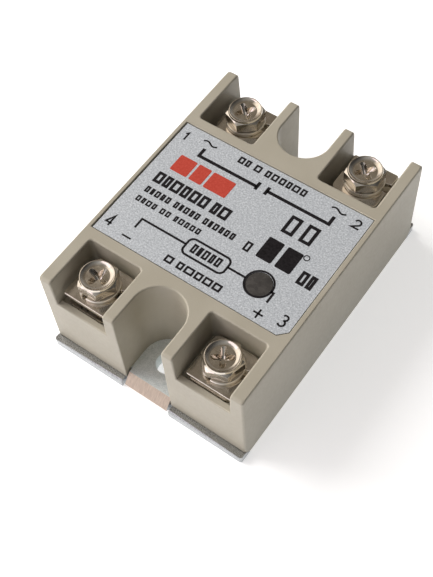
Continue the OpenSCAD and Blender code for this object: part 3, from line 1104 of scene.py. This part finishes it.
def dress_inner_parts(frame):
    black = speckled("black_epoxy", (0.018, 0.018, 0.018), (0.04, 0.04, 0.042), 2.0, 0.45)
    copper = speckled("copper_sheet", (0.50, 0.20, 0.09), (0.66, 0.32, 0.18), 0.8, 0.3, 1.0)
    lacquer = speckled("resistor_lacquer", (0.42, 0.31, 0.18), (0.55, 0.43, 0.27), 1.5, 0.35)
    led_epoxy = speckled("led_epoxy", (0.42, 0.02, 0.015), (0.58, 0.05, 0.04), 1.0, 0.12)
    alumina = speckled("alumina", (0.78, 0.76, 0.70), (0.86, 0.84, 0.80), 4.0, 0.6)
    silicon = speckled("silicon_chip", (0.06, 0.065, 0.08), (0.13, 0.14, 0.16), 1.0, 0.2)
    laminate = speckled("board_laminate", (0.03, 0.15, 0.05), (0.06, 0.24, 0.10), 2.5, 0.4)
    red_box = speckled("capacitor_box", (0.34, 0.06, 0.03), (0.48, 0.10, 0.05), 1.2, 0.3)
    resin = speckled("potting_resin", (0.04, 0.04, 0.035), (0.08, 0.08, 0.07), 0.6, 0.35)
    brass = speckled("nickel_brass", (0.52, 0.47, 0.39), (0.66, 0.61, 0.53), 1.0, 0.28, 1.0)
    finishes = {
        "indicator_led": led_epoxy,
        "ceramic_insulator": alumina,
        "heat_spreader": copper,
        "power_triac": silicon,
        "gate_lead": copper,
        "output_strap_1": copper,
        "output_strap_2": copper,
        "circuit_board": laminate,
        "optocoupler": black,
        "input_resistor": lacquer,
        "input_diode": black,
        "input_transistor": black,
        "gate_resistor": lacquer,
        "snubber_capacitor": red_box,
        "snubber_resistor": lacquer,
        "potting_compound": resin,
    }
    for node, material in finishes.items():
        dress_node(frame, node, material)
    for n in TERMINALS:
        dress_node(frame, f"terminal_plate_{n}", brass, rounding=TERMINAL_ROUND)


# --- Camera, floor and light -----------------------------------------------------------------

FLOOR_R = 3000.0
FLOOR_BOTTOM_Z = -6.0
FLOOR_TOP_Z = -0.02
FLOOR_GLOW = 0.57
WORLD_STRENGTH = 0.68


def make_camera():
    azimuth, elevation, roll = map(math.radians, (CAM_AZIMUTH, CAM_ELEVATION, CAM_ROLL))
    level = math.cos(elevation)
    back = Vector((math.sin(azimuth) * level, -math.cos(azimuth) * level, math.sin(elevation)))
    right = Vector((0, 0, 1)).cross(back).normalized()
    up = back.cross(right)
    turn = Matrix((right, up, back)).transposed() @ Matrix.Rotation(roll, 3, "Z")
    place = (Vector(CAM_TARGET) + back * CAM_DISTANCE) * MM
    data = bpy.data.cameras.new("camera")
    data.lens = CAM_LENS
    data.clip_start = 0.01
    data.clip_end = 20.0
    camera = bpy.data.objects.new("camera", data)
    camera.matrix_world = Matrix.Translation(place) @ turn.to_4x4()
    bpy.context.scene.collection.objects.link(camera)
    bpy.context.scene.camera = camera


def make_floor():
    """A wide pale disc that glows a little, so that it stays near white in the picture."""
    n = Nodes("pale_floor")
    tone = n.ramp(n.noise(0.01), [(0.3, (0.74, 0.74, 0.74)), (0.7, (0.77, 0.77, 0.77))])
    n.set(
        Base_Color=tone,
        Roughness=0.9,
        Emission_Color=(1.0, 1.0, 1.0),
        Emission_Strength=FLOOR_GLOW,
    )
    bm = prism(disc(0, 0, FLOOR_R, 96), FLOOR_BOTTOM_Z, FLOOR_TOP_Z)
    bm.transform(Matrix.Scale(MM, 4))
    mesh = bpy.data.meshes.new("floor")
    bm.to_mesh(mesh)
    bm.free()
    mesh.materials.append(n.material)
    floor = bpy.data.objects.new("floor", mesh)
    bpy.context.scene.collection.objects.link(floor)


def area_light(name, place, size, power, colour):
    """A light in metres and watts, aimed at the relay."""
    data = bpy.data.lights.new(name, "AREA")
    data.shape = "RECTANGLE"
    data.size, data.size_y = size
    data.energy = power
    data.color = colour
    light = bpy.data.objects.new(name, data)
    light.location = place
    aim = Vector((0, 0, 0.015)) - Vector(place)
    light.rotation_euler = aim.to_track_quat("-Z", "Y").to_euler()
    bpy.context.scene.collection.objects.link(light)
    return light


def make_lights():
    area_light("key", (-0.35, -0.75, 0.55), (0.8, 0.6), power=1.75, colour=(1.0, 0.86, 0.94))
    left = area_light("left", (-0.74, -0.1, 0.66), (0.65, 0.65), power=8.8, colour=(1.0, 1.0, 1.0))
    left.visible_glossy = False


def make_world():
    """Even studio light, dim and warm high up behind, dim on the right, aglow on the left."""
    world = bpy.data.worlds.new("studio")
    world.use_nodes = True
    bpy.context.scene.world = world
    tree = world.node_tree
    place = tree.nodes.new("ShaderNodeTexCoord")
    background = tree.nodes["Background"]
    background.inputs["Strength"].default_value = WORLD_STRENGTH

    def shade(direction, start, end, away, towards):
        """A colour that goes from away to towards as the view turns to a direction."""
        dot = tree.nodes.new("ShaderNodeVectorMath")
        dot.operation = "DOT_PRODUCT"
        dot.inputs[1].default_value = Vector(direction).normalized()
        ramp = tree.nodes.new("ShaderNodeValToRGB")
        elements = ramp.color_ramp.elements
        elements[0].position, elements[0].color = start, (*away, 1)
        elements[1].position, elements[1].color = end, (*towards, 1)
        tree.links.new(place.outputs["Generated"], dot.inputs[0])
        tree.links.new(dot.outputs["Value"], ramp.inputs["Fac"])
        return ramp.outputs["Color"]

    def mix(mode, first, second):
        node = tree.nodes.new("ShaderNodeMix")
        node.data_type = "RGBA"
        node.blend_type = mode
        node.inputs[0].default_value = 1.0
        tree.links.new(first, node.inputs[6])
        tree.links.new(second, node.inputs[7])
        return node.outputs[2]

    above = shade((-0.34, 0.40, 0.85), 0.45, 0.85, (0.62, 0.62, 0.62), (0.31, 0.27, 0.22))
    right = shade((1.0, 0.15, 0.0), 0.0, 0.7, (1.0, 1.0, 1.0), (0.12, 0.12, 0.12))
    left = shade((-0.86, -0.05, 0.50), 0.78, 0.94, (0.0, 0.0, 0.0), (1.7, 1.55, 1.40))
    sky = mix("ADD", mix("MULTIPLY", above, right), left)
    tree.links.new(sky, background.inputs["Color"])


# --- Build -----------------------------------------------------------------------------------


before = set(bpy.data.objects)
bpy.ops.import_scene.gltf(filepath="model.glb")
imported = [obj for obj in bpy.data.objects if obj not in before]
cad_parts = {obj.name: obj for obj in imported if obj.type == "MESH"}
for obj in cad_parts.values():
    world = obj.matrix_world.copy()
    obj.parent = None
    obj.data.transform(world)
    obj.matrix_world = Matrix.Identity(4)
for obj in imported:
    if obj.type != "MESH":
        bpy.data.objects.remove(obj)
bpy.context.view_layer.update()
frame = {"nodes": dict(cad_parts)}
make_camera()
make_housing(housing_plastic())
make_base_plate(
    galvanised("galvanised_steel", (0.46, 0.53, 0.52), (0.96, 1.0, 1.0), 0.05, 0.5),
    bare_cut(),
    galvanised("galvanised_flange", (0.22, 0.23, 0.24), (0.60, 0.62, 0.63), 0.9, 0.26),
)
make_label(label_film())
make_print(
    ink("black_ink", (0.008, 0.007, 0.008), (0.022, 0.02, 0.022)),
    ink("red_ink", (0.46, 0.055, 0.035), (0.56, 0.085, 0.06)),
)
make_window(speckled("smoked_lens", (0.045, 0.042, 0.04), (0.07, 0.065, 0.06), 1.0, 0.25))
screw_metal = nickel("nickel_screw", (0.66, 0.60, 0.52), (0.80, 0.75, 0.67), 0.12, 0.22)
lock_metal = nickel("nickel_lock_washer", (0.76, 0.70, 0.62), (0.88, 0.83, 0.75), 0.26, 0.38)
clamp_metal = nickel("nickel_clamp", (0.62, 0.57, 0.50), (0.76, 0.71, 0.64), 0.10, 0.20)
for n in TERMINALS:
    make_screw(n, screw_metal)
    make_lock_washer(n, lock_metal)
    make_clamp_washer(n, clamp_metal)
dress_inner_parts(frame)
make_floor()
make_world()
make_lights()
bpy.context.scene.view_settings.view_transform = "Standard"
